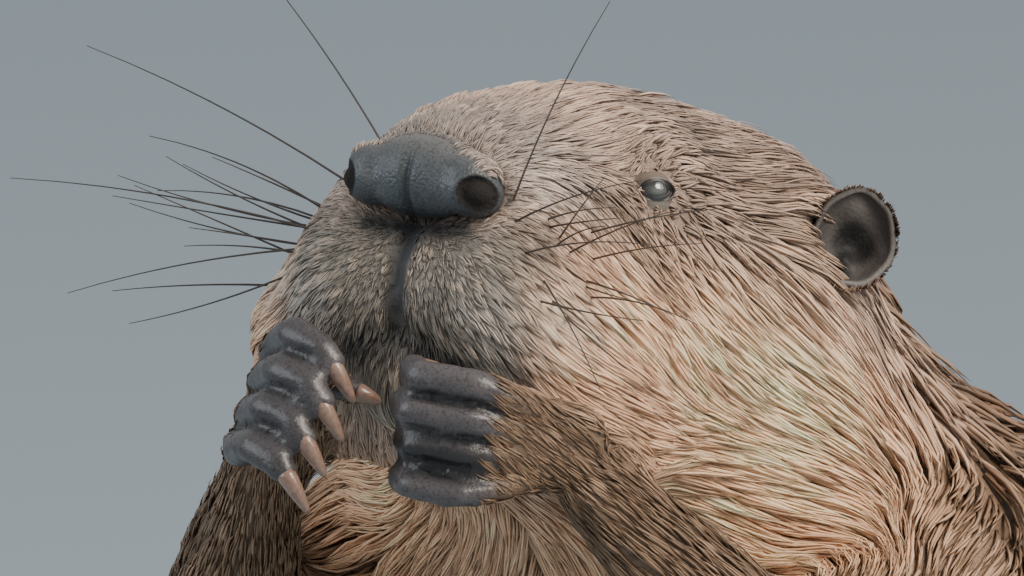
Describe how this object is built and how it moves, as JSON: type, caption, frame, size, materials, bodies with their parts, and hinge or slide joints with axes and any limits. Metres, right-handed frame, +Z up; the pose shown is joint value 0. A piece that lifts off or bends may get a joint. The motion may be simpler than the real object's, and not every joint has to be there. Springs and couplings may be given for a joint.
{
  "type": "beaver",
  "caption": "Adult beaver sitting on its haunches, forepaws held at its mouth, flat scaly tail laid on the ground behind it; a still, life-size animal.",
  "frame": {"origin": "on the floor, under the middle of the whole animal from nose to tail", "axes": "+Z up; the beaver faces -Y and its left side is +X, so +Y runs along the tail"},
  "size_m": [0.3543, 0.6995, 0.479],
  "materials": {
    "coat": "damp brown guard hair, clumped into pointed locks",
    "face_coat": "damp greyish beige fur, darker between the locks",
    "nose_leather": "bare pebbled leather, moist",
    "ear_skin": "thin dark skin with very short hair",
    "foot_skin": "wet dark creased skin",
    "tail_scales": "dark grey scales, satin",
    "whisker": "stiff hairs, dark at the root and paler at the tip",
    "claw": "horn, brown and slightly glossy",
    "eye": "wet, nearly black"
  },
  "bodies": {
    "root": {"ear_left": "ear_skin", "ear_right": "ear_skin", "eye_left": "eye", "eye_right": "eye", "forearm_left": "coat", "forearm_right": "coat", "foreclaw_left_1": "claw", "foreclaw_left_2": "claw", "foreclaw_left_3": "claw", "foreclaw_left_4": "claw", "foreclaw_left_5": "claw", "foreclaw_right_1": "claw", "foreclaw_right_2": "claw", "foreclaw_right_3": "claw", "foreclaw_right_4": "claw", "foreclaw_right_5": "claw", "forepaw_left": "foot_skin", "forepaw_right": "foot_skin", "head": "face_coat", "hind_foot_left": "foot_skin", "hind_foot_right": "foot_skin", "hindclaw_left_1": "claw", "hindclaw_left_2": "claw", "hindclaw_left_3": "claw", "hindclaw_left_4": "claw", "hindclaw_left_5": "claw", "hindclaw_right_1": "claw", "hindclaw_right_2": "claw", "hindclaw_right_3": "claw", "hindclaw_right_4": "claw", "hindclaw_right_5": "claw", "neck": "coat", "nose": "nose_leather", "shank_left": "coat", "shank_right": "coat", "tail_paddle": "tail_scales", "tail_root": "coat", "thigh_left": "coat", "thigh_right": "coat", "trunk": "coat", "upper_arm_left": "coat", "upper_arm_right": "coat", "whisker_left_1": "whisker", "whisker_left_2": "whisker", "whisker_left_3": "whisker", "whisker_left_4": "whisker", "whisker_right_1": "whisker", "whisker_right_2": "whisker", "whisker_right_3": "whisker", "whisker_right_4": "whisker"}
  },
  "joints": []
}
